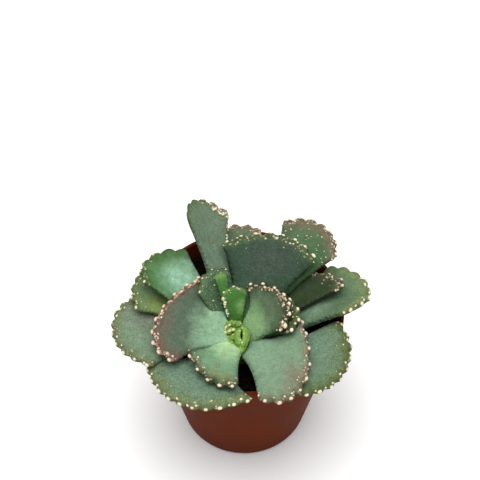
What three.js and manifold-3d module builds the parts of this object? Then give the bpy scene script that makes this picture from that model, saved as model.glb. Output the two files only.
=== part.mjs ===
// A potted Aloinopsis malherbei: one rosette of fan-shaped succulent leaves with toothed, beaded
// margins, in a round nursery pot filled with peat. Lengths are in millimetres and angles in
// degrees. +Z is up, and the origin is the middle of the circle that the pot stands on.
import * as THREE from "three";
import { mergeVertices } from "three/addons/utils/BufferGeometryUtils.js";
import Module from "manifold-3d";

const wasm = await Module();
wasm.setup();

const GAP = 0.3; // clearance between neighbouring pieces

// Pot
const POT_HEIGHT = 49;
const RIM_RADIUS = 27.5;
const BASE_RADIUS = 18.1;
const POT_WALL = 1.1;
const POT_FLOOR = 1.4;
const HEEL_ROUND = 1.6; // rounding between the underside and the wall
const POT_SIDES = 40;
const DRAIN_RADIUS = 1.9;
const DRAIN_RING_RADIUS = 10.5;
const DRAIN_COUNT = 4;
const DRAIN_SIDES = 8;

// Soil
const SOIL_LEVEL = 44;
const SOIL_RELIEF = 0.7;
const SOIL_DISH = 2; // how deep the peat has sunk around the stem
const SOIL_RINGS = 6;
const SOIL_SIDES = 28;

// Rosette: the stem stands in the soil, and the leaves grow from rings around it
const CENTRE = [-1.8, -8.8];
const STEM_SIDES = 16;
const STEM_PROFILE = [
  [3.4, 34],
  [4.6, 41],
  [5.3, 45],
  [4.2, 47.3],
  [3.4, 48.6],
];
const RINGS = {
  outer: { radius: 6, height: 45.5 },
  middle: { radius: 4.6, height: 47.5 },
  inner: { radius: 4, height: 49.2 },
};

// Leaves
const LEAF_BUTT = 1.6; // how far a leaf reaches in from its ring towards the stem
const NECK_THICKNESS = 3.2;
const BLADE_THICKNESS = 2.2;
const TOOTH_SPACING = 3.5;
const TOOTH_HEIGHT = 0.8;
const BEAD_RADIUS = 0.6;
const BEAD_NECK = 0.6; // the neck's radius and its distance behind the bead, as shares of the radius
const ROWS = [0, 0.25, 0.55, 0.82, 0.96, 1]; // shares of the way from neck to margin

// Each leaf: its ring; the middle of its outer margin; its width there and at the neck; fan, half
// the angle of the margin's arc; waist, how far out along its sides the blade stays as narrow as its
// neck; belly, how much the sides bulge; arch, half the angle that the blade bends through along its
// length; cup, how far its sides curl up; roll, how far its right side turns down; slant, how far
// its right side runs ahead of its left; turn, how far around its ring its neck is from its tip's
// direction; beaded, the stretch of the margin whose teeth carry beads, from -1 at the left to 1 at
// the right. Lower leaves come first, and make way for later ones.
const LEAVES = [
  {
    name: "leaf_front_left_outer", ring: "outer", tip: [-16.5, -31.9, 51.5],
    width: 31, fan: 60, arch: 17, slant: 0.12, roll: 3,
  },
  {
    name: "leaf_front_right_outer", ring: "outer", tip: [25.9, -22.3, 51],
    width: 26.5, arch: 18, slant: -0.1,
  },
  {
    name: "leaf_left_outer", ring: "outer", tip: [-35, -10.8, 52],
    width: 25, arch: 9, slant: 0.15, roll: 8,
  },
  { name: "leaf_left_back_lower", ring: "outer", tip: [-29.3, 6.2, 54], width: 18, arch: 4 },
  {
    name: "leaf_left_back_cupped", ring: "middle", tip: [-26.2, 9.7, 58.3],
    width: 15, neck: 5, fan: 80, waist: 0.65, belly: 0.35, arch: 2, cup: 3.5, slant: -0.1, beaded: [-1, 0.3],
  },
  {
    name: "leaf_back_left", ring: "outer", tip: [-13, 24, 66],
    width: 16.5, arch: 10, roll: 40, beaded: [-0.1, 1],
  },
  { name: "leaf_back_hidden", ring: "outer", tip: [-1, 25.4, 53], width: 11, neck: 3, arch: 8 },
  { name: "leaf_back_right", ring: "outer", tip: [21.3, 17.6, 63], width: 18, neck: 4, arch: 10 },
  {
    name: "leaf_right_outer", ring: "outer", tip: [33.3, 2.2, 56.2],
    width: 18.5, fan: 85, belly: 0.1, arch: 8, cup: 3, roll: -15, thickness: 1.3, beaded: [-0.3, 1],
  },
  {
    name: "leaf_right_shaded", ring: "middle", tip: [24.6, 4.2, 57.5],
    width: 11, neck: 4, arch: 2, roll: -10, slant: 0.5,
  },
  {
    name: "leaf_back_middle", ring: "middle", tip: [8.6, 13.5, 64.3],
    width: 26, neck: 10, fan: 45, arch: 6, slant: 0.2,
  },
  {
    name: "leaf_right_under", ring: "middle", tip: [14.2, -6.4, 57.5],
    width: 13.5, neck: 4, arch: 10, slant: 0.15,
  },
  {
    name: "leaf_small_dotted", ring: "outer", tip: [-10.4, 3.7, 60],
    width: 11, neck: 8, turn: -20, waist: 0.3, arch: 6, cup: 1.2, thickness: 0.8,
  },
  {
    name: "leaf_left_inner", ring: "inner", tip: [-23, -9.5, 57.5],
    width: 24, neck: 13.5, turn: -42, waist: 0.8, arch: 10, roll: -18, slant: -0.5,
  },
  {
    name: "leaf_front_right_inner", ring: "middle", tip: [15.9, -26.4, 55.5],
    width: 25, neck: 8, fan: 70, arch: 14, roll: 8, slant: 0.48,
  },
  {
    name: "leaf_front_inner", ring: "inner", tip: [-9.4, -26, 54],
    width: 16.5, neck: 7, fan: 40, arch: 16, slant: -0.28,
  },
  {
    name: "leaf_small_tip", ring: "inner", tip: [-6.9, 3.2, 61],
    width: 3.4, neck: 2.4, arch: 4, cup: 0.6, thickness: 0.6, beaded: [1, -1],
  },
  {
    name: "leaf_right_inner", ring: "inner", tip: [10.6, -3.4, 60],
    width: 18, neck: 8, arch: 10, slant: 0.22,
  },
  {
    name: "leaf_small_middle", ring: "inner", tip: [-3, 1, 58],
    width: 7, neck: 4, arch: 12, cup: 1, thickness: 0.7,
  },
];
const LEAF_DEFAULTS = {
  neck: 5, fan: 68, waist: 0.55, belly: 0, cup: 2, roll: 0, slant: 0, turn: 0, thickness: 1,
  beaded: [-1, 1],
};

// Young growth in the middle of the rosette: upright leaflets and knobs around their feet
const GROWTH_CENTRE = [-2.1, -10.2];
const GROWTH_STRETCH = 1.2; // it is this much longer from front to back than from side to side
const GROWTH_FOOT = 49;
const GROWTH_HEIGHT = 3.6;
const GROWTH_RADIUS = 4.1;
const GROWTH_SIDES = 10;
const KNOB_RADIUS = 1.1;
const KNOB_RINGS = [
  { count: 11, radius: 3.8, height: 50.6 },
  { count: 7, radius: 2.3, height: 52.2 },
];

const GREEN = new THREE.Color(0.36, 0.47, 0.34);
const YOUNG_GREEN = new THREE.Color(0.42, 0.62, 0.16);
const BARK = new THREE.Color(0.3, 0.3, 0.16);
const PEAT = new THREE.Color(0.03, 0.025, 0.02);
const TERRACOTTA = new THREE.Color(0.35, 0.15, 0.08);

const radians = THREE.MathUtils.degToRad;

// Turns a closed geometry into a solid: places that coincide are merged, and triangles that have
// shrunk to a line are dropped.
function solidOf(geometry) {
  const bare = new THREE.BufferGeometry();
  bare.setAttribute("position", geometry.getAttribute("position"));
  bare.setIndex(geometry.getIndex());
  const merged = mergeVertices(bare, 1e-4);
  const corners = merged.getIndex().array;
  const triVerts = [];
  for (let i = 0; i < corners.length; i += 3) {
    const [a, b, c] = corners.slice(i, i + 3);
    if (a !== b && b !== c && c !== a) triVerts.push(a, b, c);
  }
  const mesh = new wasm.Mesh({
    numProp: 3,
    vertProperties: merged.getAttribute("position").array,
    triVerts: new Uint32Array(triVerts),
  });
  return new wasm.Manifold(mesh);
}

// A solid as a named mesh, without the scraps that a cut may leave.
function meshOf(name, solid, colour, roughness) {
  const [body] = solid.decompose().sort((a, b) => b.volume() - a.volume());
  const { vertProperties, triVerts, numProp } = body.getMesh();
  const geometry = new THREE.BufferGeometry();
  const positions = new THREE.InterleavedBuffer(vertProperties, numProp);
  geometry.setAttribute("position", new THREE.InterleavedBufferAttribute(positions, 3, 0));
  geometry.setIndex(new THREE.BufferAttribute(triVerts, 1));
  geometry.computeVertexNormals();
  const material = new THREE.MeshStandardMaterial({ color: colour, roughness, metalness: 0 });
  const mesh = new THREE.Mesh(geometry, material);
  mesh.name = name;
  return mesh;
}

// A surface of revolution from [radius, height] points, listed from the bottom up.
function lathed(points, sides) {
  return new THREE.LatheGeometry(points.map(([r, z]) => new THREE.Vector2(r, z)), sides).rotateX(Math.PI / 2);
}

// The pot's outer radius at a height.
function potRadius(z) {
  return BASE_RADIUS + ((RIM_RADIUS - BASE_RADIUS) * z) / POT_HEIGHT;
}

function makePot() {
  const lip = POT_WALL / 2;
  const outside = [
    [0, 0],
    [BASE_RADIUS - HEEL_ROUND, 0],
    [potRadius(0) - HEEL_ROUND * 0.3, HEEL_ROUND * 0.3],
    [potRadius(HEEL_ROUND), HEEL_ROUND],
    [potRadius(POT_HEIGHT - lip), POT_HEIGHT - lip],
    [RIM_RADIUS - lip * 0.4, POT_HEIGHT],
  ];
  const inside = [
    [RIM_RADIUS - POT_WALL + lip * 0.4, POT_HEIGHT],
    [potRadius(POT_HEIGHT - lip) - POT_WALL, POT_HEIGHT - lip],
    [potRadius(POT_FLOOR) - POT_WALL, POT_FLOOR],
    [0, POT_FLOOR],
  ];
  let pot = solidOf(lathed([...outside, ...inside], POT_SIDES));
  for (let i = 0; i < DRAIN_COUNT; i++) {
    const angle = (2 * Math.PI * (i + 0.5)) / DRAIN_COUNT;
    const hole = new THREE.CylinderGeometry(DRAIN_RADIUS, DRAIN_RADIUS, 3 * POT_FLOOR, DRAIN_SIDES);
    hole.rotateX(Math.PI / 2);
    hole.translate(DRAIN_RING_RADIUS * Math.cos(angle), DRAIN_RING_RADIUS * Math.sin(angle), 0);
    pot = pot.subtract(solidOf(hole));
  }
  return pot;
}

// The peat's surface: low swells, and a shallow dish around the stem.
function soilHeight(x, y) {
  const swell = Math.sin(0.55 * x + 1) * Math.cos(0.6 * y) + 0.6 * Math.sin(1.3 * x - 0.9 * y);
  const fromStem = Math.hypot(x - CENTRE[0], y - CENTRE[1]);
  const dish = 1 - THREE.MathUtils.smoothstep(fromStem, 7, 14);
  return SOIL_LEVEL + (SOIL_RELIEF * swell * (1 - dish)) / 1.6 - SOIL_DISH * dish;
}

function makeSoil(stem) {
  const floor = POT_FLOOR + GAP;
  const insideRadius = (z) => potRadius(z) - POT_WALL - GAP;
  const points = [[0, floor], [insideRadius(floor), floor], [insideRadius(SOIL_LEVEL), SOIL_LEVEL]];
  for (let i = SOIL_RINGS; i >= 0; i--) points.push([(insideRadius(SOIL_LEVEL) * i) / (SOIL_RINGS + 1), SOIL_LEVEL]);
  const lathe = lathed(points, SOIL_SIDES);
  const place = lathe.getAttribute("position");
  for (let i = 0; i < place.count; i++) {
    const onTop = place.getZ(i) > SOIL_LEVEL - 0.01;
    const nearWall = Math.hypot(place.getX(i), place.getY(i)) > insideRadius(SOIL_LEVEL) - 0.01;
    if (onTop && !nearWall) place.setZ(i, soilHeight(place.getX(i), place.getY(i)));
  }
  return solidOf(lathe).subtract(stem);
}

function makeStem(grow) {
  const [, bottom] = STEM_PROFILE[0];
  const [, top] = STEM_PROFILE[STEM_PROFILE.length - 1];
  const sides = STEM_PROFILE.map(([r, z]) => [r + grow, z]);
  const points = [[0, bottom - grow], [STEM_PROFILE[0][0] + grow, bottom - grow], ...sides, [0, top + 0.6 + grow]];
  return solidOf(lathed(points, STEM_SIDES)).translate([...CENTRE, 0]);
}

// Where a leaf starts, which way it points, how steeply it rises at its neck and at its tip, and
// how long it is along its bend.
function leafCourse(leaf) {
  const ring = RINGS[leaf.ring];
  const towards = Math.atan2(leaf.tip[1] - CENTRE[1], leaf.tip[0] - CENTRE[0]) + radians(leaf.turn);
  const seat = new THREE.Vector3(
    CENTRE[0] + ring.radius * Math.cos(towards),
    CENTRE[1] + ring.radius * Math.sin(towards),
    ring.height,
  );
  const chord = new THREE.Vector3(...leaf.tip).sub(seat);
  const azimuth = Math.atan2(chord.y, chord.x);
  const rise = Math.atan2(chord.z, Math.hypot(chord.x, chord.y));
  const arch = radians(leaf.arch);
  const length = (chord.length() * arch) / Math.sin(arch);
  return { seat, azimuth, start: rise + arch, bend: (-2 * arch) / length, length };
}

// The place of a point of a leaf, from its distance across, along and above the flat blade.
function leafPoint(leaf, course, across, along, above) {
  const { seat, azimuth, start, bend, length } = course;
  const spread = THREE.MathUtils.smoothstep(along, 0, 0.6 * length);
  const run = along + leaf.slant * across * THREE.MathUtils.smoothstep(along, 0, length);
  const slope = start + bend * run;
  const forward = (Math.sin(slope) - Math.sin(start)) / bend;
  const upward = (Math.cos(start) - Math.cos(slope)) / bend;
  const raised = above + leaf.cup * (across / (leaf.width / 2)) ** 2 * spread;
  const roll = radians(leaf.roll) * spread;
  const ahead = new THREE.Vector3(Math.cos(azimuth), Math.sin(azimuth), 0);
  const right = new THREE.Vector3(Math.sin(azimuth), -Math.cos(azimuth), 0);
  const up = new THREE.Vector3(0, 0, 1);
  const normal = ahead.clone().multiplyScalar(-Math.sin(slope)).addScaledVector(up, Math.cos(slope));
  const side = right.clone().multiplyScalar(Math.cos(roll)).addScaledVector(normal, -Math.sin(roll));
  const face = normal.clone().multiplyScalar(Math.cos(roll)).addScaledVector(right, Math.sin(roll));
  return seat.clone().addScaledVector(ahead, forward).addScaledVector(up, upward)
    .addScaledVector(side, across).addScaledVector(face, raised);
}

// How many teeth fit along a leaf's margin.
function toothCount(leaf) {
  const fan = radians(leaf.fan);
  return Math.max(2, Math.round((leaf.width * fan) / Math.sin(fan) / TOOTH_SPACING));
}

// The flat blade's outline, from its neck (u = 0) to its margin (u = 1) and from its left side
// (v = -1) to its right (v = 1): the sides curve in to the neck, and the margin is an arc with
// rounded teeth.
function bladePoint(leaf, length, u, v, grow) {
  const fan = radians(leaf.fan);
  const arcRadius = leaf.width / 2 / Math.sin(fan) + grow;
  const turn = v * fan;
  const teeth = toothCount(leaf);
  const tooth = TOOTH_HEIGHT * Math.abs(Math.sin((teeth * Math.PI * (v + 1)) / 2)) * u ** 12;
  const marginX = (arcRadius + tooth) * Math.sin(turn);
  const marginY = length + grow - arcRadius + (arcRadius + tooth) * Math.cos(turn);
  const neckX = v * (leaf.neck / 2 + grow);
  const neckY = -LEAF_BUTT - grow;
  const waistX = 1.05 * neckX + leaf.belly * marginX;
  const waistY = leaf.waist * marginY;
  const x = (1 - u) ** 2 * neckX + 2 * u * (1 - u) * waistX + u ** 2 * marginX;
  const y = (1 - u) ** 2 * neckY + 2 * u * (1 - u) * waistY + u ** 2 * marginY;
  return [x, y];
}

// Half the blade's thickness: thickest at the neck, with rounded sides and a blunt margin.
function halfThickness(leaf, u, v, grow) {
  const full = THREE.MathUtils.lerp(NECK_THICKNESS, BLADE_THICKNESS, Math.min(1, u / 0.6));
  const rounding = Math.sqrt(1 - Math.abs(v) ** 6) * Math.sqrt(1 - u ** 16);
  return ((full * leaf.thickness) / 2 + grow) * rounding;
}

function placeOf(places, i) {
  return new THREE.Vector3().fromArray(places, 3 * i);
}

// Swells the tip of each tooth into a bead: the faces that met at the tip now draw in to a neck,
// widen to the bead's girth and close at its nose. Gives the new list of corners.
function beadTips(places, corners, tips, radius) {
  const made = [];
  const add = (place) => places.push(...place.toArray()) / 3 - 1;
  for (let i = 0; i < corners.length; i += 3) {
    const face = corners.slice(i, i + 3);
    const k = face.findIndex((corner) => tips.has(corner));
    if (k < 0) {
      made.push(...face);
      continue;
    }
    const { centre, behind } = tips.get(face[k]);
    const [a, b] = [face[(k + 1) % 3], face[(k + 2) % 3]];
    const axis = centre.clone().sub(behind).normalize();
    const girth = (corner, share, shift) => {
      const out = placeOf(places, corner).sub(centre).projectOnPlane(axis).normalize();
      return add(centre.clone().addScaledVector(axis, shift * radius).addScaledVector(out, share * radius));
    };
    const [neckA, neckB] = [girth(a, BEAD_NECK, -BEAD_NECK), girth(b, BEAD_NECK, -BEAD_NECK)];
    const [wideA, wideB] = [girth(a, 1, 0), girth(b, 1, 0)];
    const nose = add(centre.clone().addScaledVector(axis, radius));
    made.push(a, b, neckB, a, neckB, neckA, neckA, neckB, wideB, neckA, wideB, wideA, wideA, wideB, nose);
  }
  return made;
}

// A leaf as one closed solid with a bead on each tooth. grow makes it larger all round, for
// cutting its place out of a neighbour.
function leafSolid(shape, grow = 0) {
  const leaf = { ...LEAF_DEFAULTS, ...shape };
  const course = leafCourse(leaf);
  const teeth = toothCount(leaf);
  const columns = 2 * teeth;
  const places = [];
  for (const face of [1, -1]) {
    for (const u of ROWS) {
      for (let j = 0; j <= columns; j++) {
        const v = (2 * j) / columns - 1;
        const [x, y] = bladePoint(leaf, course.length, u, v, grow);
        places.push(...leafPoint(leaf, course, x, y, face * halfThickness(leaf, u, v, grow)).toArray());
      }
    }
  }
  const at = (under, i, j) => (under * ROWS.length + i) * (columns + 1) + j;
  const corners = [];
  for (let j = 0; j < columns; j++) {
    for (let i = 0; i + 1 < ROWS.length; i++) {
      const [a, b, c, d] = [at(0, i, j), at(0, i, j + 1), at(0, i + 1, j + 1), at(0, i + 1, j)];
      const [e, f, g, h] = [at(1, i, j), at(1, i, j + 1), at(1, i + 1, j + 1), at(1, i + 1, j)];
      if (2 * j < columns) corners.push(a, b, d, b, c, d, e, h, f, f, h, g);
      else corners.push(a, b, c, a, c, d, e, g, f, e, h, g);
    }
    corners.push(at(0, 0, j), at(1, 0, j), at(1, 0, j + 1), at(0, 0, j), at(1, 0, j + 1), at(0, 0, j + 1));
  }
  const tips = new Map();
  const [first, last] = leaf.beaded;
  for (let j = 1; j < columns; j += 2) {
    const v = (2 * j) / columns - 1;
    if (v < first || v > last) continue;
    const centre = placeOf(places, at(0, ROWS.length - 1, j));
    const [upper, lower] = [0, 1].map((under) => placeOf(places, at(under, ROWS.length - 3, j)));
    const behind = upper.lerp(lower, 0.5);
    for (const under of [0, 1]) tips.set(at(under, ROWS.length - 1, j), { centre, behind });
  }
  const geometry = new THREE.BufferGeometry();
  geometry.setIndex(beadTips(places, corners, tips, BEAD_RADIUS + grow));
  geometry.setAttribute("position", new THREE.BufferAttribute(new Float32Array(places), 3));
  return solidOf(geometry);
}

function knob(radius, angle, reach, height) {
  const shape = new THREE.OctahedronGeometry(radius, 0);
  const [x, y] = GROWTH_CENTRE;
  shape.translate(x + reach * Math.cos(angle), y + GROWTH_STRETCH * reach * Math.sin(angle), height);
  return solidOf(shape);
}

function makeYoungGrowth(grow) {
  const radius = GROWTH_RADIUS + grow;
  const points = [
    [0, GROWTH_FOOT - grow],
    [radius * 0.7, GROWTH_FOOT - grow],
    [radius, GROWTH_FOOT + GROWTH_HEIGHT * 0.4],
    [radius * 0.6, GROWTH_FOOT + GROWTH_HEIGHT * 0.85],
    [0, GROWTH_FOOT + GROWTH_HEIGHT + grow],
  ];
  const mound = lathed(points, GROWTH_SIDES).scale(1, GROWTH_STRETCH, 1).translate(...GROWTH_CENTRE, 0);
  let solid = solidOf(mound);
  for (const ring of KNOB_RINGS) {
    for (let i = 0; i < ring.count; i++) {
      const angle = (2 * Math.PI * (i + (ring.count % 2) / 2)) / ring.count;
      solid = solid.add(knob(KNOB_RADIUS + grow, angle, ring.radius, ring.height));
    }
  }
  return solid;
}

function makePlant() {
  const plant = new THREE.Group();
  const growthSpace = makeYoungGrowth(GAP);
  const stem = makeStem(0);
  const stemSpace = makeStem(GAP);
  plant.add(meshOf("pot", makePot(), TERRACOTTA, 0.45));
  plant.add(meshOf("soil", makeSoil(stemSpace), PEAT, 0.95));
  plant.add(meshOf("stem", stem.subtract(growthSpace), BARK, 0.8));
  const solids = LEAVES.map((leaf) => leafSolid(leaf));
  const spaces = LEAVES.map((leaf) => leafSolid(leaf, GAP));
  LEAVES.forEach((leaf, i) => {
    let solid = solids[i].subtract(stemSpace).subtract(growthSpace);
    for (const space of spaces.slice(i + 1)) solid = solid.subtract(space);
    plant.add(meshOf(leaf.name, solid, GREEN, 0.6));
  });
  plant.add(meshOf("young_growth", makeYoungGrowth(0), YOUNG_GREEN, 0.5));
  return plant;
}

export default makePlant();
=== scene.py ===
"""The looks of a potted Aloinopsis malherbei. Shapes are worked out in millimetres and written in metres.

Each leaf follows the same formula as its solid, with a finer grid, scalloped teeth and pearly beads.
"""

import math
import random

import bpy
import numpy as np
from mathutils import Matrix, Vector, noise


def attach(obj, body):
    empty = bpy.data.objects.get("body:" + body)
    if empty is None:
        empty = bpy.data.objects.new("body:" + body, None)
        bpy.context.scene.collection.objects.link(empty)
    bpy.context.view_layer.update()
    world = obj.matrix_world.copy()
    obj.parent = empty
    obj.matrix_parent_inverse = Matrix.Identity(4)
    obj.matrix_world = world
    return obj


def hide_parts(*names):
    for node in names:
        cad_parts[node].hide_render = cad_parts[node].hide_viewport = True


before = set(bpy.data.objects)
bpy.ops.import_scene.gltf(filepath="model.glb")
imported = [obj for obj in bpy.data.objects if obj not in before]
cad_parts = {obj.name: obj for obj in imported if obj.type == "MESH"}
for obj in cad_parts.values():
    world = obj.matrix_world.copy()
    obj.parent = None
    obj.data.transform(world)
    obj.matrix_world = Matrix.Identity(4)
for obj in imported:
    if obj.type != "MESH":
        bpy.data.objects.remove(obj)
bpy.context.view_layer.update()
MM = 0.001

# sizes shared with the solids, in millimetres

POT_HEIGHT, RIM_RADIUS, BASE_RADIUS = 49, 27.5, 18.1
POT_WALL, POT_FLOOR, HEEL_ROUND = 1.1, 1.4, 1.6
DRAIN_RADIUS, DRAIN_RING_RADIUS, DRAIN_COUNT = 1.9, 10.5, 4
SOIL_LEVEL, SOIL_DISH, SOIL_GAP = 44, 2, 0.05
CENTRE = (-1.8, -8.8)
STEM_PROFILE = [(3.4, 34), (4.6, 41), (5.3, 45), (4.2, 47.3), (3.4, 48.6)]
RINGS = {"outer": (6, 45.5), "middle": (4.6, 47.5), "inner": (4, 49.2)}
LEAF_BUTT, NECK_THICKNESS, BLADE_THICKNESS = 1.6, 3.2, 2.2
TOOTH_SPACING, TOOTH_HEIGHT, BEAD_RADIUS = 3.5, 0.8, 0.5

# sizes of the fine detail, in millimetres

RELIEF_DEPTH, RELIEF_SIZE = 0.22, 6
EDGE_WIDTH = 0.8  # how far the painted shade at the margin and sides reaches
LIP_RADIUS = 0.55
STEM_CLEARANCE = 6.4
CRUMB_COUNT, PERLITE_COUNT = 900, 17

# colours, as seen on a screen


def srgb(r, g, b):
    """The linear colour of a screen colour from 0 to 255."""
    channels = [c / 255 for c in (r, g, b)]
    return tuple(c / 12.92 if c < 0.0405 else ((c + 0.055) / 1.055) ** 2.4 for c in channels) + (1,)


# Each leaf's colours: at the neck, over the blade, along the margin, and in its patches, which are a real
# flush of colour on most leaves and a painted highlight on leaf_left_back_cupped and leaf_right_outer.
TONES = {
    "leaf_front_left_outer": [(130, 158, 136), (102, 128, 107), (104, 118, 76), (118, 108, 90)],
    "leaf_front_right_outer": [(126, 154, 130), (104, 129, 105), (88, 106, 62), (116, 122, 88)],
    "leaf_left_outer": [(130, 156, 134), (116, 138, 112), (102, 114, 76), (112, 106, 102)],
    "leaf_left_back_lower": [(128, 156, 122), (106, 130, 94), (94, 114, 66), (128, 146, 76)],
    # leaf_left_back_cupped: its fourth colour is a painted highlight, a pale bluish glow inside the bowl
    "leaf_left_back_cupped": [(138, 180, 140), (96, 138, 94), (68, 102, 54), (160, 200, 178)],
    "leaf_back_left": [(128, 158, 130), (102, 124, 100), (86, 108, 70), (106, 98, 76)],
    "leaf_back_hidden": [(104, 124, 96), (92, 108, 82), (108, 98, 80), (112, 96, 80)],
    "leaf_back_right": [(90, 132, 88), (72, 106, 68), (104, 96, 76), (118, 98, 84)],
    # leaf_right_outer: its fourth colour is a painted highlight, a pale bluish sheen along the blade's middle
    "leaf_right_outer": [(98, 126, 100), (92, 116, 88), (112, 130, 80), (134, 162, 136)],
    # leaf_right_shaded: its neck and blade colours are darkened as painted shade, where it lies under
    # leaf_back_middle
    "leaf_right_shaded": [(36, 52, 32), (50, 66, 40), (92, 90, 66), (60, 64, 44)],
    "leaf_back_middle": [(74, 104, 74), (54, 76, 58), (74, 96, 56), (68, 72, 66)],
    # leaf_right_under: its colours are darkened as painted shade, where it lies under leaf_right_inner
    "leaf_right_under": [(66, 90, 58), (60, 80, 52), (82, 96, 58), (74, 78, 56)],
    "leaf_small_dotted": [(92, 122, 90), (84, 112, 82), (82, 104, 66), (84, 106, 68)],
    "leaf_left_inner": [(152, 190, 154), (82, 100, 80), (114, 86, 72), (96, 82, 74)],
    "leaf_front_right_inner": [(132, 164, 134), (118, 144, 116), (104, 108, 78), (120, 104, 86)],
    "leaf_front_inner": [(170, 204, 150), (112, 146, 112), (78, 88, 58), (132, 122, 68)],
    "leaf_small_tip": [(56, 102, 44), (72, 118, 56), (106, 150, 80), (120, 150, 70)],
    "leaf_right_inner": [(146, 184, 130), (88, 108, 82), (58, 64, 44), (100, 88, 72)],
    "leaf_small_middle": [(64, 112, 44), (70, 118, 52), (98, 138, 72), (136, 176, 106)],
    # leaflet: its neck colour is almost black, painted shade deep between the young leaflets
    "leaflet": [(14, 28, 8), (62, 98, 34), (140, 182, 84), (150, 180, 90)],
}
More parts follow.
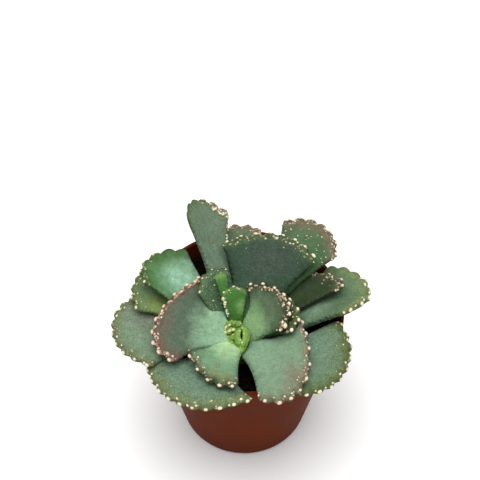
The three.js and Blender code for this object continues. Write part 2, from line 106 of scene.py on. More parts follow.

# Each leaf: the values that its solid has; then how wide its coloured margin is, its extra beads per
# tooth, the share of teeth with a bead behind them, its warts per tooth as crust, its small dots, how
# warm its beads are, how deep its grain is, its patches as flushes_and_highlights (side, neck to margin,
# size, strength) with sides at -1 and 1, which are real flushes on most leaves and painted highlights on
# leaf_left_back_cupped and leaf_right_outer, its old scars (side, neck to margin, radius), and its
# sprinkles: groups of dots (how many, from side, to side, from neck to margin, to, largest radius, 1
# above or -1 below).
LEAVES = [
    dict(name="leaf_front_left_outer", ring="outer", tip=(-16.5, -31.9, 51.5), width=31, fan=60, arch=17,
         slant=0.12, roll=3, band=3.2, extra=1, behind=0.2, crust=2, dots=4, grain=1.6),
    dict(name="leaf_front_right_outer", ring="outer", tip=(25.9, -22.3, 51), width=26.5, arch=18, slant=-0.1,
         band=3.4, extra=1, behind=0.3, crust=2, dots=5, grain=1.5),
    dict(name="leaf_left_outer", ring="outer", tip=(-35, -10.8, 52), width=25, arch=9, slant=0.15, roll=8,
         band=2.4, extra=1, behind=0.4, crust=3, dots=4, grain=1.3, flushes_and_highlights=[(0.7, 0.75, 7, 0.55)]),
    dict(name="leaf_left_back_lower", ring="outer", tip=(-29.3, 6.2, 54), width=18, arch=4, band=2,
         extra=2, behind=0.6, dots=8, flushes_and_highlights=[(-0.7, 0.75, 4, 0.8)]),
    # its patch is a painted highlight: a pale glow in the middle of the bowl
    dict(name="leaf_left_back_cupped", ring="middle", tip=(-26.2, 9.7, 58.3), width=15, fan=80, waist=0.65,
         belly=0.35, arch=2, cup=3.5, slant=-0.1, beaded=(-1, 0.2),
         band=3.6, extra=1, behind=0.3, crust=4, grain=0.7, flushes_and_highlights=[(0.25, 0.6, 5.4, 0.62)]),
    dict(name="leaf_back_left", ring="outer", tip=(-13, 24, 66), width=16.5, arch=10, roll=40,
         beaded=(-0.1, 1), band=2, extra=2, behind=1, crust=12, dots=4, warm=0.5,
         flushes_and_highlights=[(0.55, 0.98, 3, 0.6), (1, 0.9, 3, 0.5)], scars=[(-0.1, 0.66, 0.9)],
         sprinkles=[(34, 0.35, 0.98, 0.92, 0.985, 0.44, 1), (16, 0.84, 0.98, 0.7, 0.92, 0.42, 1)]),
    dict(name="leaf_back_hidden", ring="outer", tip=(-1, 25.4, 53), width=11, neck=3, arch=8, band=1.6,
         extra=2, crust=10, behind=0.8, dots=6, warm=0.8),
    dict(name="leaf_back_right", ring="outer", tip=(21.3, 17.6, 63), width=18, neck=4, arch=10, band=3,
         extra=1, crust=9, warm=0.5, sprinkles=[(22, -0.95, 0.95, 0.82, 0.93, 0.28, 1)]),
    # its patch is a painted highlight along the middle of the blade, toward the neck
    dict(name="leaf_right_outer", ring="outer", tip=(33.3, 2.2, 56.2), width=18.5, fan=85, belly=0.1, arch=8,
         cup=3, roll=-15, thickness=1.3, beaded=(-0.3, 1), bead=0.6, band=2.6, extra=1, behind=0.2,
         crust=3, dots=2, grain=1.2, flushes_and_highlights=[(0.25, 0.55, 4, 0.6)],
         sprinkles=[(46, 0.72, 0.97, 0.3, 0.8, 0.2, -1)]),
    dict(name="leaf_right_shaded", ring="middle", tip=(24.6, 4.2, 57.5), width=11, neck=4, arch=2, roll=-10,
         slant=0.5, band=1.8, extra=2, behind=0.8, crust=8, dots=6, warm=0.5),
    dict(name="leaf_back_middle", ring="middle", tip=(8.6, 13.5, 64.3), width=26, neck=10, fan=45, arch=6,
         slant=0.2, band=1.6, extra=1, behind=0.7, crust=7, dots=4, warm=0.2, grain=1.5,
         flushes_and_highlights=[(0.1, 0.76, 7, 0.5)]),
    dict(name="leaf_right_under", ring="middle", tip=(14.2, -6.4, 57.5), width=13.5, neck=4, arch=10,
         slant=0.15, band=1.8, extra=1, behind=0.6, crust=3, dots=2, warm=0.1),
    dict(name="leaf_small_dotted", ring="outer", tip=(-10.4, 3.7, 60), width=11, neck=8, turn=-20, waist=0.3,
         arch=6, cup=1.2, thickness=0.8, bead=0.3, band=0.8, extra=2, behind=0.5, warm=0.6, grain=1.5,
         sprinkles=[(110, -0.97, 0.9, 0.42, 0.97, 0.15, 1), (9, -0.95, 0.7, 0.5, 0.95, 0.3, 1)]),
    dict(name="leaf_left_inner", ring="inner", tip=(-23, -9.5, 57.5), width=24, neck=13.5, turn=-42,
         waist=0.8, arch=10, roll=-18, slant=-0.5, bead=0.56, band=1.9, extra=2, behind=0.7, crust=12, warm=1,
         flushes_and_highlights=[(-0.15, 0.84, 3.4, 0.6), (-0.3, 0.74, 2.6, 0.4)]),
    dict(name="leaf_front_right_inner", ring="middle", tip=(15.9, -26.4, 55.5), width=25, neck=8, fan=70,
         arch=14, roll=8, slant=0.48, band=1.6, extra=1, behind=0.4, crust=7, dots=2, warm=0.9, grain=0.8,
         flushes_and_highlights=[(0.1, 0.86, 3.6, 0.7), (0.35, 0.88, 2.4, 0.6)]),
    dict(name="leaf_front_inner", ring="inner", tip=(-9.4, -26, 54), width=16.5, neck=7, fan=40, arch=16,
         slant=-0.28, band=2.2, extra=1, behind=0.9, crust=5, dots=2, warm=0.5, grain=0.6,
         flushes_and_highlights=[(-0.1, 0.84, 1.2, 0.6), (-0.5, 0.86, 2.4, 0.4)], scars=[(-0.1, 0.7, 0.5)]),
    dict(name="leaf_small_tip", ring="inner", tip=(-6.9, 3.2, 61), width=3.4, neck=2.4, arch=4, cup=0.6,
         thickness=0.6, tooth=0.2, beaded=(1, -1), band=1.6, grain=0.6),
    dict(name="leaf_right_inner", ring="inner", tip=(10.6, -3.4, 60), width=18, neck=8, arch=10, slant=0.22,
         band=2.3, extra=2, behind=0.9, crust=9, dots=2, warm=0.7, bead=0.54, scars=[(0.15, 0.68, 0.8)]),
    dict(name="leaf_small_middle", ring="inner", tip=(-3, 1, 58), width=7, neck=4, arch=12, cup=1,
         thickness=0.7, tooth=0.3, bead=0.34, beaded=(-1, 0.1), band=0.8, extra=3, behind=0.5, grain=0.6,
         flushes_and_highlights=[(0.9, 0.6, 2, 0.9)], sprinkles=[(26, -1, -0.86, 0.3, 0.97, 0.45, 1)]),
]
LEAF_DEFAULTS = dict(neck=5, fan=68, waist=0.55, belly=0, cup=2, roll=0, slant=0, turn=0, thickness=1,
                     beaded=(-1, 1), band=1.6, extra=0, behind=0, crust=0, dots=0, warm=0.2, grain=1,
                     flushes_and_highlights=(), scars=(), sprinkles=(), spacing=TOOTH_SPACING, tooth=TOOTH_HEIGHT,
                     bead=BEAD_RADIUS, fine=8, blunt=6)
SKIN_DEPTH = 0.86  # how much of those colours the skin reflects

# meshes


def smoothstep(x, low, high):
    t = np.clip((x - low) / (high - low), 0, 1)
    return t * t * (3 - 2 * t)


def unit_ball(rings=7, sides=10):
    """A ball of radius 1: its points and its faces, as quads that meet in a point at the poles."""
    points = [(0, 0, 1)]
    for i in range(1, rings):
        a = math.pi * i / rings
        points += [(math.sin(a) * math.cos(b), math.sin(a) * math.sin(b), math.cos(a))
                   for b in (2 * math.pi * j / sides for j in range(sides))]
    points.append((0, 0, -1))
    faces = [(0, 1 + j, 1 + (j + 1) % sides) for j in range(sides)]
    for i in range(rings - 2):
        a, b = 1 + i * sides, 1 + (i + 1) * sides
        faces += [(a + j, b + j, b + (j + 1) % sides, a + (j + 1) % sides) for j in range(sides)]
    last, end = 1 + (rings - 2) * sides, len(points) - 1
    faces += [(last + j, end, last + (j + 1) % sides) for j in range(sides)]
    return np.array(points), faces


class Shell:
    """Gathers points in millimetres, faces, each face's material and the points' values for one mesh."""

    def __init__(self):
        self.points, self.faces, self.slots, self.values, self.count = [], [], [], {}, 0

    def add(self, points, faces, slot=0, **values):
        points = np.asarray(points, float).reshape(-1, 3)
        self.faces += [tuple(int(i) + self.count for i in face) for face in faces]
        self.slots += [slot] * len(faces)
        for name in set(values) | set(self.values):
            given = values.get(name, 0.0)
            row = np.broadcast_to(np.asarray(given, float).reshape(-1), (len(points),))
            self.values.setdefault(name, [np.zeros(self.count)]).append(row)
        self.points.append(points)
        self.count += len(points)

    def make(self, name, materials, node):
        mesh = bpy.data.meshes.new(name)
        mesh.from_pydata((np.concatenate(self.points) * MM).tolist(), [], self.faces)
        for material in materials:
            mesh.materials.append(material)
        mesh.polygons.foreach_set("material_index", self.slots)
        mesh.polygons.foreach_set("use_smooth", [True] * len(self.faces))
        for key, rows in self.values.items():
            numbers = np.concatenate(rows).astype(np.float32)
            mesh.attributes.new(key, "FLOAT", "POINT").data.foreach_set("value", numbers)
        mesh.validate()
        piece = bpy.data.objects.new(name, mesh)
        bpy.context.scene.collection.objects.link(piece)
        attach(piece, "root")
        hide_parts(node)
        return piece


BALL_POINTS, BALL_FACES = unit_ball(9, 14)
LUMP_POINTS, LUMP_FACES = unit_ball(6, 10)


def basis(out, up):
    """Rows for the ways along the margin, outwards and upwards."""
    out = np.asarray(out, float) / np.linalg.norm(out)
    up = np.asarray(up, float) - np.dot(up, out) * out
    up = up / np.linalg.norm(up)
    return np.array([np.cross(out, up), out, up])


def add_wart(shell, centre, out, up, size, warm, pale):
    """A low fleshy wart, the colour of a bead's foot with a tip that is at most as pale as given."""
    tip = pale * np.clip(LUMP_POINTS[:, 2], 0, 1)
    shell.add(centre + (LUMP_POINTS * size) @ basis(out, up), LUMP_FACES, 1, tip=tip, warm=warm)


def add_bead(shell, centre, out, up, size, warm):
    """A pearly bead that is pale where it looks out and up, on a fleshy foot if it isn't tiny. size is
    along the margin, outwards and upwards."""
    frame_of = basis(out, up)
    bright = min(1, 0.45 + 1.1 * size[1])
    tip = np.clip(0.5 + 0.62 * (0.6 * BALL_POINTS[:, 1] + 0.8 * BALL_POINTS[:, 2]), 0, 1) * bright
    shell.add(centre + (BALL_POINTS * size) @ frame_of, BALL_FACES, 1, tip=tip, warm=warm)
    if size[1] > 0.2:
        foot = LUMP_POINTS * size * (1.35, 1.4, 1) + np.array([0, -0.25, -0.5]) * size
        # the foot gets half the painted shade of a leaf's edge
        shell.add(centre + foot @ frame_of, LUMP_FACES, 0, along=1, rim=0.9, edge=0.5, across_mm=99)


# leaves


def leaf_course(leaf):
    if "seat" in leaf:
        seat = np.array(leaf["seat"], float)
    else:
        (radius, height), (x, y) = RINGS[leaf["ring"]], CENTRE
        towards = math.atan2(leaf["tip"][1] - y, leaf["tip"][0] - x) + math.radians(leaf["turn"])
        seat = np.array([x + radius * math.cos(towards), y + radius * math.sin(towards), height])
    chord = np.array(leaf["tip"], float) - seat
    arch = math.radians(leaf["arch"])
    length = np.linalg.norm(chord) * arch / math.sin(arch)
    rise = math.atan2(chord[2], math.hypot(chord[0], chord[1]))
    return dict(seat=seat, azimuth=math.atan2(chord[1], chord[0]), start=rise + arch,
                bend=-2 * arch / length, length=length)


def leaf_point(leaf, course, across, along, above):
    """Places of a leaf's points, from their distances across, along and above the flat blade."""
    across, along, above = np.broadcast_arrays(across, along, above)
    length, start, bend, azimuth = course["length"], course["start"], course["bend"], course["azimuth"]
    spread = smoothstep(along, 0, 0.6 * length)
    slope = start + bend * (along + leaf["slant"] * across * smoothstep(along, 0, length))
    forward = (np.sin(slope) - math.sin(start)) / bend
    upward = (math.cos(start) - np.cos(slope)) / bend
    raised = above + leaf["cup"] * (across / (leaf["width"] / 2)) ** 2 * spread
    roll = math.radians(leaf["roll"]) * spread
    ahead = np.array([math.cos(azimuth), math.sin(azimuth), 0])
    right = np.array([math.sin(azimuth), -math.cos(azimuth), 0])
    up = np.array([0, 0, 1.0])
    normal = -np.sin(slope)[..., None] * ahead + np.cos(slope)[..., None] * up
    side = np.cos(roll)[..., None] * right - np.sin(roll)[..., None] * normal
    face = np.cos(roll)[..., None] * normal + np.sin(roll)[..., None] * right
    return (course["seat"] + forward[..., None] * ahead + upward[..., None] * up
            + across[..., None] * side + raised[..., None] * face)


def tooth_count(leaf):
    fan = math.radians(leaf["fan"])
    return max(2, round(leaf["width"] * fan / math.sin(fan) / leaf["spacing"]))


def blade_point(leaf, length, u, v):
    """The flat blade's outline, from neck (u = 0) to margin (u = 1) and left (v = -1) to right (v = 1)."""
    fan = math.radians(leaf["fan"])
    radius = leaf["width"] / 2 / math.sin(fan)
    wave = np.abs(np.sin(tooth_count(leaf) * math.pi * (v + 1) / 2))
    tooth = leaf["tooth"] * wave * u**12
    margin_x = (radius + tooth) * np.sin(v * fan)
    margin_y = length - radius + (radius + tooth) * np.cos(v * fan)
    neck_x = v * leaf["neck"] / 2
    waist_x = 1.05 * neck_x + leaf["belly"] * margin_x
    x = (1 - u) ** 2 * neck_x + 2 * u * (1 - u) * waist_x + u**2 * margin_x
    y = -(1 - u) ** 2 * LEAF_BUTT + 2 * u * (1 - u) * leaf["waist"] * margin_y + u**2 * margin_y
    return x, y


def half_thickness(leaf, u, v):
    full = NECK_THICKNESS + (BLADE_THICKNESS - NECK_THICKNESS) * np.minimum(1, u / 0.6)
    lip = 1 + 0.22 * np.exp(-(((u - 0.93) / 0.05) ** 2))
    rounding = np.sqrt(np.clip(1 - np.abs(v) ** leaf["blunt"], 0, 1)) * np.sqrt(np.clip(1 - u**16, 0, 1))
    return full * leaf["thickness"] / 2 * lip * rounding


def swell(points, seed, size):
    """Slow unevenness of growth, between about -1 and 1."""
    p = points / size
    return (np.sin(p[..., 0] * 1.7 + seed) * np.sin(p[..., 1] * 2.1 + 1.3 * seed)
            + 0.6 * np.sin(3.1 * p[..., 0] - 2.3 * p[..., 1] + 2.1 * seed)) / 1.6


def relief_of(leaf, across, along, u, seed):
    """How far the blade's middle is raised above its smooth course."""
    flat = np.stack([across, along, 0 * across], -1)
    return RELIEF_DEPTH * leaf["thickness"] * swell(flat, seed, RELIEF_SIZE) * smoothstep(u, 0.1, 0.5)


def add_leaf(shell, shape, seed):
    leaf = {**LEAF_DEFAULTS, **shape}
    rand = random.Random(seed)
    course = leaf_course(leaf)
    length, teeth = course["length"], tooth_count(leaf)
    u = 1 - (1 - np.linspace(0, 1, 34)) ** 1.7
    inner = np.linspace(-1, 1, leaf["fine"] * teeth + 1)[1:-1]
    edge = np.array([1, 0.9985, 0.993, 0.984])
    inner = inner[np.abs(inner) < 0.98]
    v = np.concatenate([-edge, inner, edge[::-1]])
    U, V = np.meshgrid(u, v, indexing="ij")
    across, along = blade_point(leaf, length, U, V)
    end_x, end_y = blade_point(leaf, length, np.ones_like(V), V)
    half = half_thickness(leaf, U, V)
    lobe = np.abs(np.sin(teeth * math.pi * (V + 1) / 2)) * smoothstep(U, 0.86, 0.97) * (half > 0)
    relief = relief_of(leaf, across, along, U, seed)
    scale = leaf["bead"] / BEAD_RADIUS
    top = leaf_point(leaf, course, across, along, half * (1 + 0.12 * scale * lobe) + relief)
    low = leaf_point(leaf, course, across, along, -half + relief)
    n, m = U.shape
    over = np.arange(n * m).reshape(n, m)
    under = over + n * m
    border = np.zeros_like(over, bool)
    border[-1, :] = border[:, 0] = border[:, -1] = True
    under = np.where(border, over, under)
    faces = []
    for i in range(n - 1):
        for j in range(m - 1):
            faces.append((over[i, j], over[i, j + 1], over[i + 1, j + 1], over[i + 1, j]))
            faces.append((under[i, j], under[i + 1, j], under[i + 1, j + 1], under[i, j + 1]))
    faces += [(over[0, j], under[0, j], under[0, j + 1], over[0, j + 1]) for j in range(m - 1)]
    to_margin = np.hypot(end_x - across, end_y - along)
    side_x, side_y = blade_point(leaf, length, U, np.sign(V + 1e-9))
    to_side = np.hypot(side_x - across, side_y - along)
    # patches of the fourth colour: real flushes on most leaves, painted highlights on leaf_left_back_cupped
    # and leaf_right_outer
    stain = 0 * U
    for x, y, size, strength in leaf["flushes_and_highlights"]:
        px, py = blade_point(leaf, length, np.array(y), np.array(x))
        distance = np.hypot(across - px, along - py) / size
        stain = np.maximum(stain, strength * np.exp(-(distance**2)))
    values = dict(along=along / length, rim=np.exp(-to_margin / leaf["band"]),
                  edge=np.exp(-np.minimum(to_margin, to_side) / EDGE_WIDTH),
                  stain=stain, across_mm=across, along_mm=along)
    double = {key: np.concatenate([value.ravel(), value.ravel()]) for key, value in values.items()}
    # marks the lower face, which the skin darkens as painted shade
    below = np.concatenate([np.zeros(n * m), np.ones(n * m)])
    shell.add(np.concatenate([top.reshape(-1, 3), low.reshape(-1, 3)]), faces, 0, below=below, **double)

    def on_top(uu, vv):
        """A point of the upper face, the way out to the margin and the face's normal there."""
        uu, vv = np.array([uu, uu + 0.01, uu]), np.array([vv, vv, vv + 0.01])
        x, y = blade_point(leaf, length, uu, vv)
        above = half_thickness(leaf, uu, vv) + relief_of(leaf, x, y, uu, seed)
        p = leaf_point(leaf, course, x, y, above)
        normal = np.cross(p[2] - p[0], p[1] - p[0])
        return p[0], p[1] - p[0], normal / np.linalg.norm(normal)

    def margin_bead(at, radius, inward, long):
        """A bead on the upper edge of the margin, or inward of it, long times as wide along the margin."""
        spot, out, up = on_top(1 - (0.2 + inward) / length, at)
        out = out / np.linalg.norm(out)
        centre = spot + (0.1 * out - 0.2 * up) * radius
        size = radius * np.array([long, 1, 0.95])
        add_bead(shell, centre, out, up, size, leaf["warm"] * rand.uniform(0.7, 1.2))

    def face_bead(at, to_neck, size, flat, warm, side=1):
        """A dot on the upper face, or on the lower one where side is -1."""
        spot, out, up = on_top(to_neck, at)
        if side < 0:
            u, v = np.array([to_neck]), np.array([at])
            spot = leaf_point(leaf, course, *blade_point(leaf, length, u, v), -half_thickness(leaf, u, v))[0]
            up = -up
        add_bead(shell, spot, out, up, size * np.array([1, 1, flat]), warm)

    def carries(at):
        return leaf["beaded"][0] <= at <= leaf["beaded"][1]

    for _ in range(leaf["crust"] * teeth):
        at, inward = rand.uniform(-0.97, 0.97), 1.5 * rand.random() ** 1.5
        size = leaf["bead"] * rand.uniform(0.45, 0.8)
        if carries(at):
            spot, out, up = on_top(1 - (0.15 + inward) / length, at)
            add_wart(shell, spot - 0.35 * size * up, out, up, size * np.array([rand.uniform(1, 1.6), 1, 0.9]),
                           leaf["warm"], rand.uniform(0, 0.75))

    for k in range(teeth):
        at = -1 + (2 * k + 1) / teeth
        if not carries(at):
            continue
        margin_bead(at, leaf["bead"] * rand.uniform(0.85, 1.1), rand.uniform(0, 0.15),
                    rand.uniform(1.05, 1.4))
        for _ in range(leaf["extra"]):
            margin_bead(min(0.98, at + rand.uniform(0.5, 1.5) / teeth),
                        leaf["bead"] * rand.uniform(0.45, 0.85), rand.uniform(0, 0.7), rand.uniform(0.9, 1.4))
        if rand.random() < leaf["behind"]:
            beyond = min(0.96, max(-0.96, at + rand.uniform(-0.9, 0.9) / teeth))
            face_bead(beyond, 1 - rand.uniform(1.1, 1.9) / length, leaf["bead"] * rand.uniform(0.4, 0.7), 0.8,
                      leaf["warm"] * rand.uniform(0.6, 1.1))
    for _ in range(leaf["dots"]):
        at, away = rand.uniform(-0.92, 0.92), 1.4 + 1.2 * abs(rand.gauss(0, 1))
        if carries(at):
            face_bead(at, 1 - away / length, leaf["bead"] * rand.choice([0.2, 0.25, 0.3, 0.4]), 0.7, 0.2)
    for count, left, right, low, high, largest, side in leaf["sprinkles"]:
        for _ in range(count):
            face_bead(rand.uniform(left, right), rand.uniform(low, high), largest * rand.uniform(0.5, 1), 0.8,
                      rand.uniform(0, 0.3), side)


# materials


class Look:
    """A material as a small graph around one Principled shader."""

    def __init__(self, name, **plain):
        self.material = bpy.data.materials.new(name)
        self.material.use_nodes = True
        self.tree = self.material.node_tree
        self.tree.nodes.clear()
        self.shader = self.tree.nodes.new("ShaderNodeBsdfPrincipled")
        out = self.tree.nodes.new("ShaderNodeOutputMaterial")
        self.tree.links.new(self.shader.outputs[0], out.inputs[0])
        for key, value in plain.items():
            self.shader.inputs[key.replace("_", " ")].default_value = value
        space = self.tree.nodes.new("ShaderNodeTexCoord").outputs["Object"]
        self.place = self.node("ShaderNodeVectorMath", {0: space, 3: 1 / MM}, 0, operation="SCALE")

    def node(self, kind, inputs, output=0, **settings):
        made = self.tree.nodes.new(kind)
        for key, value in settings.items():
            setattr(made, key, value)
        for key, value in inputs.items():
            if isinstance(value, bpy.types.NodeSocket):
                self.tree.links.new(value, made.inputs[key])
            else:
                made.inputs[key].default_value = value
        return made.outputs[output]

    def value(self, name):
        return self.node("ShaderNodeAttribute", {}, "Fac", attribute_name=name)

    def noise(self, size, detail=3, rough=0.5, stretch=None):
        """Noise whose lumps are about size millimetres."""
        place = self.place
        if stretch:
            place = self.node("ShaderNodeVectorMath", {0: place, 1: stretch}, 0, operation="MULTIPLY")
        return self.node("ShaderNodeTexNoise", {"Vector": place, "Scale": 1 / size, "Detail": detail,
                                                "Roughness": rough}, 0)

    def cells(self, size):
        return self.node("ShaderNodeTexVoronoi", {"Vector": self.place, "Scale": 1 / size}, "Distance")

    def range(self, value, low, high, to_low=0.0, to_high=1.0):
        return self.node("ShaderNodeMapRange", {0: value, 1: low, 2: high, 3: to_low, 4: to_high}, 0)

    def calc(self, a, b, operation="ADD"):
        return self.node("ShaderNodeMath", {0: a, 1: b}, 0, operation=operation)

    def mix(self, share, a, b, blend="MIX"):
        return self.node("ShaderNodeMix", {0: share, 6: a, 7: b}, 2, data_type="RGBA", blend_type=blend)

    def colour(self, socket):
        self.tree.links.new(socket, self.shader.inputs["Base Color"])

    def roughness(self, socket):
        self.tree.links.new(socket, self.shader.inputs["Roughness"])

    def bumps(self, *heights):
        """Each height is a noise and how deep it is, in millimetres."""
        normal = None
        for height, depth in heights:
            inputs = {"Height": height, "Distance": depth * MM, "Strength": 1.0}
            if normal:
                inputs["Normal"] = normal
            normal = self.node("ShaderNodeBump", inputs, 0)
        self.tree.links.new(normal, self.shader.inputs["Normal"])


def leaf_material(name, grain, scars=()):
    """scars are (across, along, radius) in millimetres of the flat blade."""
    neck, blade, margin, flush_and_highlight_tone = (srgb(*c) for c in TONES[name])
    look = Look(name.replace("leaf", "skin", 1), Subsurface_Weight=0.1, Subsurface_Radius=(0.7, 1.2, 0.5),
                Subsurface_Scale=MM, Specular_IOR_Level=0.16)
    along, rim = look.value("along"), look.value("rim")
    patch = look.noise(5, 4, 0.6)
    towards = look.calc(along, look.range(patch, 0.3, 0.7, -0.12, 0.12))
    colour = look.mix(look.range(towards, 0.1, 0.6), neck, blade)
    edge = look.calc(rim, look.range(patch, 0.3, 0.7, 0.65, 1.35), "MULTIPLY")
    colour = look.mix(look.range(edge, 0.12, 0.7), colour, margin)
    ragged = look.range(look.noise(1.6, 4, 0.7), 0.3, 0.7, 0.5, 1.4)
    # the patches: real flushes of colour on most leaves, painted highlights on leaf_left_back_cupped and
    # leaf_right_outer
    stain = look.calc(look.value("stain"), ragged, "MULTIPLY")
    colour = look.mix(look.range(stain, 0.1, 0.8, 0, 0.85), colour, flush_and_highlight_tone)
    for x, y, radius in scars:
        dx, dy = look.calc(look.value("across_mm"), -x), look.calc(look.value("along_mm"), -y)
        square = look.calc(look.calc(dx, dx, "MULTIPLY"), look.calc(dy, dy, "MULTIPLY"))
        away = look.calc(square, 0.5, "POWER")
        ring = look.node("ShaderNodeMath", {0: away, 1: radius, 2: 0.2}, operation="COMPARE")
        colour = look.mix(look.calc(ring, 0.5, "MULTIPLY"), colour, srgb(108, 86, 56))
    mottle = look.range(look.noise(1.7, 5, 0.65), 0.3, 0.7, 0.84, 1.16)
    speck = look.range(look.noise(0.45, 3, 0.6), 0.35, 0.65, 1 - 0.17 * grain, 1 + 0.17 * grain)
    shade = look.calc(look.calc(mottle, speck, "MULTIPLY"), SKIN_DEPTH, "MULTIPLY")
    # painted shade: the skin darker toward the margin and the sides
    shade = look.calc(shade, look.range(look.value("edge"), 0, 1, 1.02, 0.74), "MULTIPLY")
    # painted shade: the lower face darker
    shade = look.calc(shade, look.range(look.value("below"), 0, 1, 1, 0.8), "MULTIPLY")
    grey = look.node("ShaderNodeCombineColor", {0: shade, 1: shade, 2: shade})
    look.colour(look.mix(1.0, colour, grey, "MULTIPLY"))
    look.roughness(look.range(look.noise(2.5, 3), 0.3, 0.7, 0.48, 0.66))
    warts = look.calc(look.cells(0.9), look.value("edge"), "MULTIPLY")
    look.bumps((look.noise(0.5, 2), 0.06), (look.noise(2.4, 3), 0.14), (warts, -0.5))
    return look.material


def bead_material():
    look = Look("bead", Roughness=0.34, Subsurface_Weight=0.15, Subsurface_Radius=(0.5, 0.4, 0.3),
                Subsurface_Scale=MM, Specular_IOR_Level=0.4)
    warm = look.value("warm")
    foot = look.mix(warm, srgb(112, 116, 76), srgb(138, 112, 92))
    tip = look.mix(look.range(look.noise(2.2, 2), 0.3, 0.7), srgb(236, 226, 202), srgb(214, 200, 168))
    tip = look.mix(look.calc(warm, 0.55, "MULTIPLY"), tip, srgb(220, 178, 164))
    look.colour(look.mix(look.range(look.value("tip"), 0.35, 0.85), foot, tip))
    look.bumps((look.noise(0.3, 2), 0.03))
    return look.material


bead = bead_material()
for number, shape in enumerate(LEAVES):
    leaf = {**LEAF_DEFAULTS, **shape}
    name, length = leaf["name"], leaf_course(leaf)["length"]
    scars = [(*(float(c) for c in blade_point(leaf, length, np.array(y), np.array(x))), radius)
             for x, y, radius in leaf["scars"]]
    shell = Shell()
    add_leaf(shell, leaf, 11 + number)
    shell.make(name.replace("leaf", "blade"), [leaf_material(name, leaf["grain"], scars), bead], name)

# young growth: unopened leaflets with knobbly rims, the last two face to face

LEAFLETS = [
    dict(seat=(-3.2, -8.2, 48.4), tip=(-3.5, -5.9, 51.8), width=4.2, neck=2, arch=14, cup=0.8, spacing=1.1,
         bead=0.26),
    dict(seat=(-3.6, -9.2, 48.4), tip=(-5.8, -9.0, 51.2), width=1.6, neck=1.4, arch=14, bead=0.5),
    dict(seat=(-3.4, -8.8, 48.4), tip=(-5, -7.3, 51.6), width=1.6, neck=1.4, arch=12, bead=0.42),
    dict(seat=(-3.4, -9.6, 48.4), tip=(-3.8, -8.8, 52.4), width=1.4, neck=1.2, arch=8, bead=0.52),
    dict(seat=(-3.4, -10.8, 48.4), tip=(-4.6, -11.8, 50.8), width=4.4, neck=2, arch=14, cup=1, bead=0.3),
    dict(seat=(-1.8, -7.4, 48.4), tip=(-1.8, -6, 51.6), width=2.2, neck=1.6, arch=10, bead=0.36),
    dict(seat=(-3, -11.2, 48.4), tip=(-3.4, -11.4, 52), width=1.6, neck=1.4, arch=8, bead=0.4),
    dict(seat=(-2.8, -12.4, 48.4), tip=(-3, -13.2, 51), width=1.6, neck=1.4, arch=8, bead=0.42),
    dict(seat=(-1.7, -11.4, 48.2), tip=(-1.9, -11.4, 53), width=8.4, neck=4, arch=4, cup=1, thickness=0.76,
         spacing=2.6, bead=0.4, blunt=2),
    dict(seat=(0.3, -11.3, 48.2), tip=(0.5, -11.3, 53.4), width=9, neck=4, arch=4, cup=1, thickness=0.84,
         spacing=2.6, bead=0.4, blunt=2),
]
growth = Shell()
for number, shape in enumerate(LEAFLETS):
    small = dict(fan=78, cup=0.3, spacing=1.4, tooth=0.3, thickness=0.6, dots=0, behind=0.6, band=0.9)
    add_leaf(growth, {**small, **shape}, 60 + number)
knob = Look("knob", Roughness=0.35, Subsurface_Weight=0.2, Subsurface_Radius=(0.6, 0.8, 0.3),
            Subsurface_Scale=MM, Specular_IOR_Level=0.4)
pale = knob.mix(knob.range(knob.noise(1.5, 2), 0.4, 0.6), srgb(172, 196, 118), srgb(206, 196, 160))
knob.colour(knob.mix(knob.range(knob.value("tip"), 0.45, 1), srgb(52, 84, 26), pale))
knob.bumps((knob.noise(0.4, 2), 0.04))
growth_skins = [leaf_material("leaflet", 0.6), knob.material]
growth.make("leaflets_and_knobs", growth_skins, "young_growth")

# stem

stem = Shell()
rings = 28
heights = np.linspace(0, 1, rings)
z = np.interp(heights, [0, 1], [STEM_PROFILE[0][1], STEM_PROFILE[-1][1]])
r = np.interp(z, [p[1] for p in STEM_PROFILE], [p[0] for p in STEM_PROFILE])
angles = np.linspace(0, 2 * math.pi, 48, endpoint=False)
body = []
for height, radius in zip(z, r):
    for a in angles:
        rough = 1 + 0.05 * noise.noise(Vector((3 * math.cos(a), 3 * math.sin(a), 0.6 * height)))
        rough += 0.03 * math.sin(height * 3.2 + 2 * math.sin(a))
        x = CENTRE[0] + radius * rough * math.cos(a)
        body.append((x, CENTRE[1] + radius * rough * math.sin(a), height))
sides = len(angles)
faces = [(i * sides + j, i * sides + (j + 1) % sides, (i + 1) * sides + (j + 1) % sides, (i + 1) * sides + j)
         for i in range(rings - 1) for j in range(sides)]
faces.append(tuple(reversed(range(sides))))
faces.append(tuple((rings - 1) * sides + j for j in range(sides)))
stem.add(body, faces)
bark = Look("bark", Roughness=0.8)
bark.colour(bark.mix(bark.range(bark.noise(1.5, 5, 0.7), 0.35, 0.65), srgb(96, 84, 52), srgb(112, 134, 78)))
bark.bumps((bark.noise(0.9, 5, 0.7, (1, 1, 2.5)), 0.3))
stem.make("old_stem", [bark.material], "stem")

# soil


def wall_outside(height):
    return BASE_RADIUS + (RIM_RADIUS - BASE_RADIUS) * height / POT_HEIGHT


def wall_inside(height):
    return wall_outside(height) - POT_WALL


def soil_height(x, y):
    waves = math.sin(0.55 * x + 1) * math.cos(0.6 * y) + 0.6 * math.sin(1.3 * x - 0.9 * y)
    dish = 1 - float(smoothstep(np.array(math.hypot(x - CENTRE[0], y - CENTRE[1])), 7, 14))
    return SOIL_LEVEL + 0.7 * waves * (1 - dish) / 1.6 - SOIL_DISH * dish


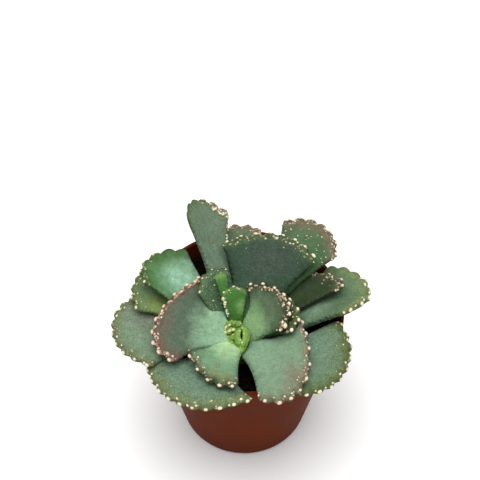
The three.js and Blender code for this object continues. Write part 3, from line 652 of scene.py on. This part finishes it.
soil = Shell()
rings, sides = 80, 220
points = []
for i in range(rings):
    radius = (wall_inside(SOIL_LEVEL) - SOIL_GAP) * (i / (rings - 1)) ** 0.85
    for j in range(sides):
        a = 2 * math.pi * (j + 0.5 * (i % 2)) / sides
        x, y = radius * math.cos(a), radius * math.sin(a)
        lumps = noise.fractal(Vector((x * 0.9, y * 0.9, 3)), 0.8, 2, 4)
        clods = max(0, noise.noise(Vector((x * 0.45, y * 0.45, 9)))) * 0.9
        points.append((x, y, soil_height(x, y) + 0.35 * lumps + clods - 0.1))
faces = [(i * sides + j, (i + 1) * sides + j, (i + 1) * sides + (j + 1) % sides, i * sides + (j + 1) % sides)
         for i in range(1, rings - 1) for j in range(sides)]
points.append((0, 0, soil_height(0, 0)))
middle = len(points) - 1
faces += [(middle, sides + j, sides + (j + 1) % sides) for j in range(sides)]
for i in range(1, 5):
    height = SOIL_LEVEL - (SOIL_LEVEL - POT_FLOOR - SOIL_GAP) * i / 4
    radius = wall_inside(height) - SOIL_GAP
    for j in range(sides):
        a = 2 * math.pi * (j + 0.5 * ((rings - 1) % 2)) / sides
        points.append((radius * math.cos(a), radius * math.sin(a), height))
rows = [(rings - 1) * sides] + [middle + 1 + k * sides for k in range(4)]
for upper, lower in zip(rows, rows[1:]):
    faces += [(upper + j, lower + j, lower + (j + 1) % sides, upper + (j + 1) % sides) for j in range(sides)]
faces.append(tuple(rows[-1] + j for j in reversed(range(sides))))
soil.add(points, faces, 0)
rand = random.Random(5)
for k in range(CRUMB_COUNT):
    a, radius = rand.uniform(0, 2 * math.pi), (wall_inside(SOIL_LEVEL) - 1.2) * math.sqrt(rand.random())
    x, y = radius * math.cos(a), radius * math.sin(a)
    if math.hypot(x - CENTRE[0], y - CENTRE[1]) < STEM_CLEARANCE:
        continue
    pale = k < PERLITE_COUNT
    size = rand.uniform(0.35, 0.7) if pale else rand.uniform(0.25, 0.95)
    stretch = np.array([rand.uniform(0.8, 1.7), rand.uniform(0.6, 1.1), rand.uniform(0.5, 0.9)])
    turn = np.array(Vector((0, 0, 1)).rotation_difference(
        Vector((rand.uniform(-1, 1), rand.uniform(-1, 1), 1.2)).normalized()).to_matrix())
    lumpy = np.array([1 + 0.35 * noise.noise(Vector(p) * 1.7 + Vector((k, 0, 0))) for p in LUMP_POINTS])
    crumb = (LUMP_POINTS * lumpy[:, None] * stretch * size) @ turn.T
    soil.add(crumb + np.array([x, y, soil_height(x, y) + 0.25]), LUMP_FACES, 1 if pale else 0)
peat = Look("peat", Roughness=0.95, Specular_IOR_Level=0.05)
peat.colour(peat.mix(peat.range(peat.noise(1.1, 6, 0.7), 0.35, 0.7), srgb(5, 4, 4), srgb(28, 21, 18)))
peat.bumps((peat.noise(0.5, 6, 0.7), 0.35), (peat.noise(2, 4, 0.6), 0.5))
grit = Look("perlite", Roughness=0.9)
grit.colour(grit.mix(grit.range(grit.noise(0.5, 4), 0.35, 0.65), srgb(196, 188, 172), srgb(236, 232, 222)))
grit.bumps((grit.noise(0.3, 4, 0.7), 0.12))
soil.make("peat_and_crumbs", [peat.material, grit.material], "soil")

# pot


def pot_profile():
    """(radius, height) points around the wall, from the underside's middle to the floor's middle."""
    top = POT_HEIGHT - LIP_RADIUS
    points = [(0, 0), (6, 0), (12, 0), (BASE_RADIUS - HEEL_ROUND, 0)]
    heel = HEEL_ROUND
    for k in range(1, 9):
        a = math.pi / 2 * k / 8
        height = heel * (1 - math.cos(a))
        points.append((wall_outside(height) - heel * (1 - math.sin(a)), height))
    for k in range(1, 24):
        height = heel + (top - heel) * k / 23
        points.append((wall_outside(height), height))
    for k in range(1, 12):
        a = math.pi * k / 12
        radius = wall_outside(top) - LIP_RADIUS + LIP_RADIUS * math.cos(a)
        points.append((radius, top + LIP_RADIUS * math.sin(a)))
    for k in range(24):
        height = top + (POT_FLOOR + 1 - top) * k / 23
        points.append((wall_inside(height), height))
    inside = wall_inside(POT_FLOOR)
    points += [(inside - 0.3, POT_FLOOR + 0.3), (inside - 1, POT_FLOOR)]
    points += [(12, POT_FLOOR), (6, POT_FLOOR), (0, POT_FLOOR)]
    return points


pot = Shell()
profile = pot_profile()
sides = 160
places, faces = [], []
ids = []
for radius, height in profile:
    if radius == 0:
        ids.append([len(places)] * sides)
        places.append((0, 0, height))
        continue
    ids.append(list(range(len(places), len(places) + sides)))
    turns = [2 * math.pi * j / sides for j in range(sides)]
    places += [(radius * math.cos(a), radius * math.sin(a), height) for a in turns]
for low, high in zip(ids, ids[1:]):
    for j in range(sides):
        corners = [low[j], low[(j + 1) % sides], high[(j + 1) % sides], high[j]]
        faces.append(tuple(dict.fromkeys(corners)))
pot.add(places, faces)
clay = Look("terracotta_plastic", Specular_IOR_Level=0.01)
wide, fine = clay.noise(14, 3), clay.noise(0.8, 4, 0.6)
colour = clay.mix(clay.range(wide, 0.35, 0.65), srgb(84, 34, 13), srgb(92, 38, 15))
dust = clay.range(clay.noise(3.5, 6, 0.75), 0.56, 0.78, 0, 0.14)
colour = clay.mix(dust, colour, srgb(104, 56, 33))
scuff = clay.range(clay.noise(0.7, 3, 0.5, (1, 1, 0.08)), 0.6, 0.75, 0, 0.16)
clay.colour(clay.mix(scuff, colour, srgb(82, 36, 20)))
clay.roughness(clay.range(wide, 0.3, 0.7, 0.42, 0.54))
clay.bumps((fine, 0.02), (clay.noise(9, 2, 0.5, (1, 1, 0.4)), 0.12))
pot_piece = pot.make("moulded_pot", [clay.material], "pot")
cutter = Shell()
for k in range(DRAIN_COUNT):
    a = 2 * math.pi * (k + 0.5) / DRAIN_COUNT
    x, y, count = DRAIN_RING_RADIUS * math.cos(a), DRAIN_RING_RADIUS * math.sin(a), 32
    turns = [2 * math.pi * j / count for j in range(count)]
    ring = [(x + DRAIN_RADIUS * math.cos(b), y + DRAIN_RADIUS * math.sin(b)) for b in turns]
    points = [(px, py, -1) for px, py in ring] + [(px, py, POT_FLOOR + 1) for px, py in ring]
    faces = [(j, (j + 1) % count, count + (j + 1) % count, count + j) for j in range(count)]
    faces += [tuple(reversed(range(count))), tuple(range(count, 2 * count))]
    cutter.add(points, faces)
cutter_mesh = bpy.data.meshes.new("drain_holes")
cutter_mesh.from_pydata((np.concatenate(cutter.points) * MM).tolist(), [], cutter.faces)
cutter_object = bpy.data.objects.new("drain_holes", cutter_mesh)
bpy.context.scene.collection.objects.link(cutter_object)
cut = pot_piece.modifiers.new("drains", "BOOLEAN")
cut.operation, cut.solver, cut.object = "DIFFERENCE", "EXACT", cutter_object
bpy.context.view_layer.update()
graph = bpy.context.evaluated_depsgraph_get()
drained = bpy.data.meshes.new_from_object(pot_piece.evaluated_get(graph))
pot_piece.modifiers.clear()
pot_piece.data = drained
bpy.data.objects.remove(cutter_object)
for polygon in drained.polygons:
    polygon.use_smooth = True
drained.set_sharp_from_angle(angle=math.radians(40))

# floor, light and camera

floor_mesh = bpy.data.meshes.new("floor")
reach = 3.0
corners = [(-reach, -reach, 0), (reach, -reach, 0), (reach, reach, 0), (-reach, reach, 0)]
floor_mesh.from_pydata(corners, [], [(0, 1, 2, 3)])
floor = bpy.data.objects.new("floor", floor_mesh)
bpy.context.scene.collection.objects.link(floor)
ground = Look("floor", Roughness=0.9, Specular_IOR_Level=0.2)
ground.shader.inputs["Base Color"].default_value = (0.97, 0.97, 0.97, 1)
floor_mesh.materials.append(ground.material)

world = bpy.data.worlds.new("studio")
world.use_nodes = True
world.node_tree.nodes["Background"].inputs[0].default_value = (1, 1, 1, 1)
world.node_tree.nodes["Background"].inputs[1].default_value = 0.62
bpy.context.scene.world = world


def area_light(name, place, target, size, power, colour=(1, 1, 1)):
    light = bpy.data.lights.new(name, "AREA")
    light.shape, light.size, light.energy, light.color = "DISK", size, power, colour
    lamp = bpy.data.objects.new(name, light)
    lamp.location = place
    lamp.rotation_euler = (Vector(target) - Vector(place)).to_track_quat("-Z", "Y").to_euler()
    bpy.context.scene.collection.objects.link(lamp)


area_light("key", (-0.03, -0.05, 0.75), (0, 0, 0.04), 0.7, 5.8)

scene = bpy.context.scene
scene.view_settings.view_transform = "Standard"
scene.view_settings.look = "None"
camera_data = bpy.data.cameras.new("camera")
camera_data.lens, camera_data.sensor_width, camera_data.sensor_fit = 109.9, 36, "HORIZONTAL"
camera_data.clip_start, camera_data.clip_end = 0.01, 20
camera = bpy.data.objects.new("camera", camera_data)
camera.location = (0, -0.229184, 0.380124)
sight = Vector((-0.001235, 0, 0.08005)) - camera.location
camera.rotation_euler = sight.to_track_quat("-Z", "Y").to_euler()
scene.collection.objects.link(camera)
scene.camera = camera
